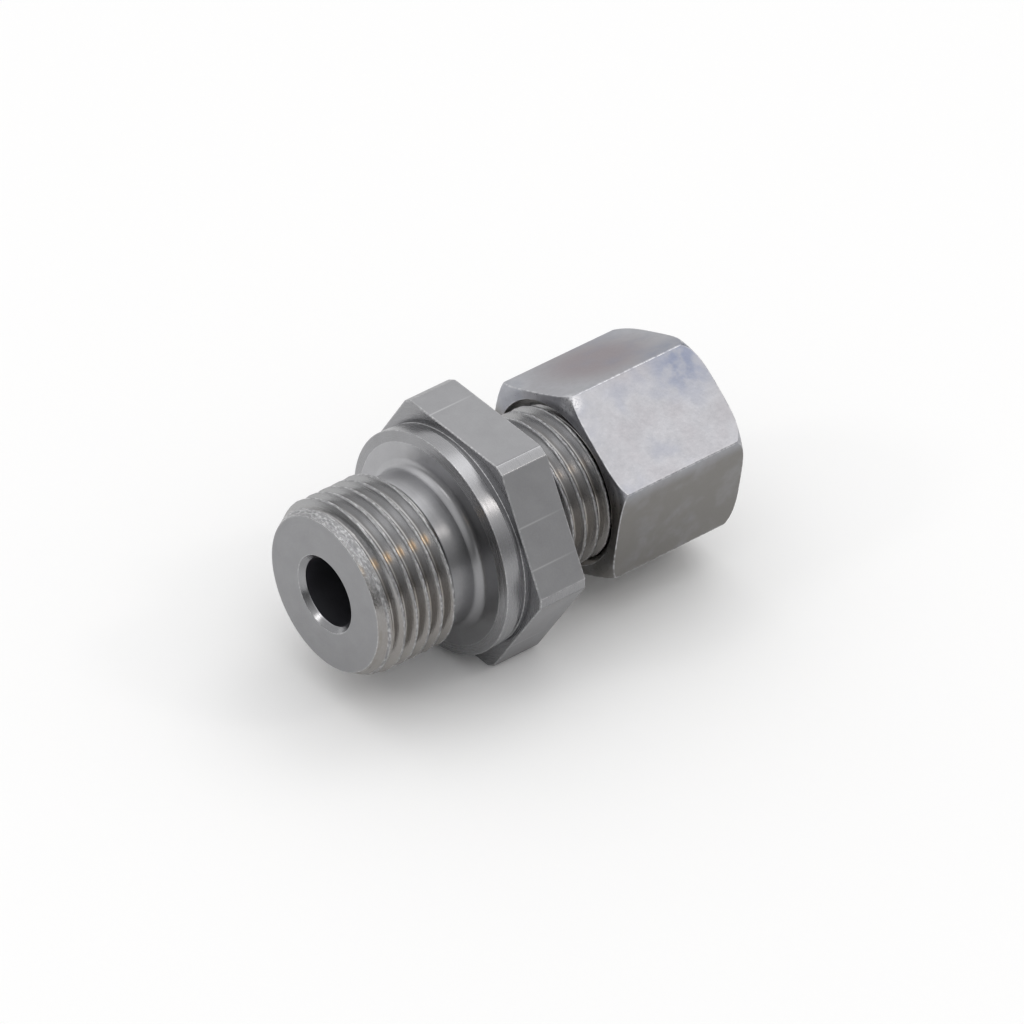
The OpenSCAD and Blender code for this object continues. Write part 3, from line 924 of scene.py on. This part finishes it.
def make_camera(s):
    """Camera that looks at its target along the photograph's direction, with a small roll."""
    back = direction_to(s.azimuth, s.elevation)
    right = Vector((math.cos(s.azimuth), math.sin(s.azimuth), 0))
    up = back.cross(right)
    c, k = math.cos(s.roll), math.sin(s.roll)
    right, up = right * c + up * k, up * c - right * k
    data = bpy.data.cameras.new("camera")
    data.lens = s.lens
    data.sensor_width = 36
    data.clip_start, data.clip_end = 0.05, 20
    camera = bpy.data.objects.new("camera", data)
    turn = Matrix((right, up, back)).transposed().to_4x4()
    target = Vector((s.target_x, 0, s.target_z))
    camera.matrix_world = Matrix.Translation(target + back * s.distance) @ turn
    bpy.context.scene.collection.objects.link(camera)
    bpy.context.scene.camera = camera


def make_floor(s):
    """Large pale floor, just under the lowest flat of the body.

    The camera sees its backdrop colour, and the object mirrors its own.
    """
    half, low = 8.0, CAD_BOX[0].z - 0.005 * MM
    mesh = bpy.data.meshes.new("floor")
    mesh.from_pydata([(-half, -half, low), (half, -half, low), (half, half, low),
                      (-half, half, low)], [], [(0, 1, 2, 3)])
    floor = bpy.data.objects.new("floor", mesh)
    bpy.context.scene.collection.objects.link(floor)
    t = material_tree("pale_floor")
    at = t.add("ShaderNodeTexCoord", {}).outputs["Object"]
    across = t.add("ShaderNodeSeparateXYZ", {0: at}).outputs[1]
    lit = t.shaded(tuple(s.floor), t.spread(across, *FLOOR_FALL, 1.0, s.floor_front))
    seen = t.add("ShaderNodeLightPath", {}).outputs["Is Camera Ray"]
    shader = t.add("ShaderNodeBsdfDiffuse", {"Color": t.mix(seen, lit, tuple(s.backdrop))})
    t.add("ShaderNodeOutputMaterial", {"Surface": shader.outputs[0]})
    mesh.materials.append(t.owner)


def make_sun(name, towards, width, strength, tint):
    """Soft light from a disc of the sky of that angular width."""
    data = bpy.data.lights.new(name, "SUN")
    data.angle = math.radians(width)
    data.energy = strength
    data.color = tint
    lamp = bpy.data.objects.new(name, data)
    lamp.rotation_mode = "QUATERNION"
    lamp.rotation_quaternion = Vector(towards).to_track_quat("Z", "Y")
    bpy.context.scene.collection.objects.link(lamp)


def make_world():
    """Even studio light: dark at the stud's horizon, brighter beyond the object and above.

    With above from zero at the horizon to one at the top, the level is
    horizon + above (1.18 - horizon).
    """
    world = bpy.data.worlds.new("studio")
    t = Tree(world)
    way = t.add("ShaderNodeTexCoord", {}).outputs["Generated"]
    parts = t.add("ShaderNodeSeparateXYZ", {0: way}).outputs
    beyond = t.math("MULTIPLY", t.spread(parts[1], 0.35, 0.8), t.spread(parts[0], -0.85, -0.45))
    horizon = t.math("MULTIPLY_ADD", beyond, 0.46, t.spread(parts[0], -0.6, 0.6, 0.14, 0.36))
    above = t.spread(parts[2], 0.1, 0.98)
    level = t.math("ADD", horizon, t.math("MULTIPLY", above, t.math("SUBTRACT", 1.18, horizon)))
    sky = t.add("ShaderNodeBackground", {"Color": (1.0, 1.0, 1.0, 1.0), "Strength": level})
    t.add("ShaderNodeOutputWorld", {"Surface": sky.outputs[0]})
    bpy.context.scene.world = world


class FITTING_OT_stage(bpy.types.Operator):
    """Build the camera, the floor and the studio light"""

    bl_idname = "fitting.stage"
    bl_label = "Stage"

    def execute(self, context):
        s = context.scene.fitting_stage
        context.scene.view_settings.view_transform = "Standard"
        make_camera(s)
        make_floor(s)
        make_world()
        for name, towards, width, strength, tint in SUNS:
            make_sun(name, towards, width, getattr(s, strength), tint)
        return {"FINISHED"}


class FITTING_OT_body(bpy.types.Operator):
    """Build the turned body with its hexagon and two threads"""

    bl_idname = "fitting.body"
    bl_label = "Body"

    def execute(self, context):
        piece = make_body(context.scene.fitting_body)
        place_piece(piece, body_steel(context.scene.fitting_finish), "body", "stud_body")
        return {"FINISHED"}


class FITTING_OT_ring(bpy.types.Operator):
    """Build the cutting ring"""

    bl_idname = "fitting.ring"
    bl_label = "Cutting Ring"

    def execute(self, context):
        piece = make_ring(context.scene.fitting_ring)
        place_piece(piece, ring_steel(context.scene.fitting_finish), "ring", "cutting_ring")
        return {"FINISHED"}


class FITTING_OT_nut(bpy.types.Operator):
    """Build the union nut with its hexagon and thread"""

    bl_idname = "fitting.nut"
    bl_label = "Union Nut"

    def execute(self, context):
        piece = make_nut(context.scene.fitting_nut, context.scene.fitting_body)
        place_piece(piece, nut_zinc(context.scene.fitting_finish), "nut", "union_nut")
        return {"FINISHED"}


GROUPS = {
    "fitting_body": FITTING_PG_body,
    "fitting_ring": FITTING_PG_ring,
    "fitting_nut": FITTING_PG_nut,
    "fitting_finish": FITTING_PG_finish,
    "fitting_stage": FITTING_PG_stage,
}
OPERATORS = (FITTING_OT_stage, FITTING_OT_body, FITTING_OT_ring, FITTING_OT_nut)


class FITTING_PT_sidebar(bpy.types.Panel):
    """Operators and sizes of the fitting"""

    bl_idname = "FITTING_PT_sidebar"
    bl_label = "Straight Fitting"
    bl_space_type = "VIEW_3D"
    bl_region_type = "UI"
    bl_category = "Fitting"

    def draw(self, context):
        for operator in OPERATORS:
            self.layout.operator(operator.bl_idname)
        for group, kind in GROUPS.items():
            box = self.layout.box()
            box.label(text=kind.__doc__)
            for name in kind.__annotations__:
                box.prop(getattr(context.scene, group), name)


CLASSES = (*GROUPS.values(), *OPERATORS, FITTING_PT_sidebar)


def register():
    for kind in CLASSES:
        bpy.utils.register_class(kind)
    for group, kind in GROUPS.items():
        setattr(bpy.types.Scene, group, PointerProperty(type=kind))


def unregister():
    for group in GROUPS:
        delattr(bpy.types.Scene, group)
    for kind in reversed(CLASSES):
        bpy.utils.unregister_class(kind)


def main():
    register()
    bpy.ops.fitting.stage()
    bpy.ops.fitting.body()
    bpy.ops.fitting.ring()
    bpy.ops.fitting.nut()


if __name__ == "__main__":
    main()
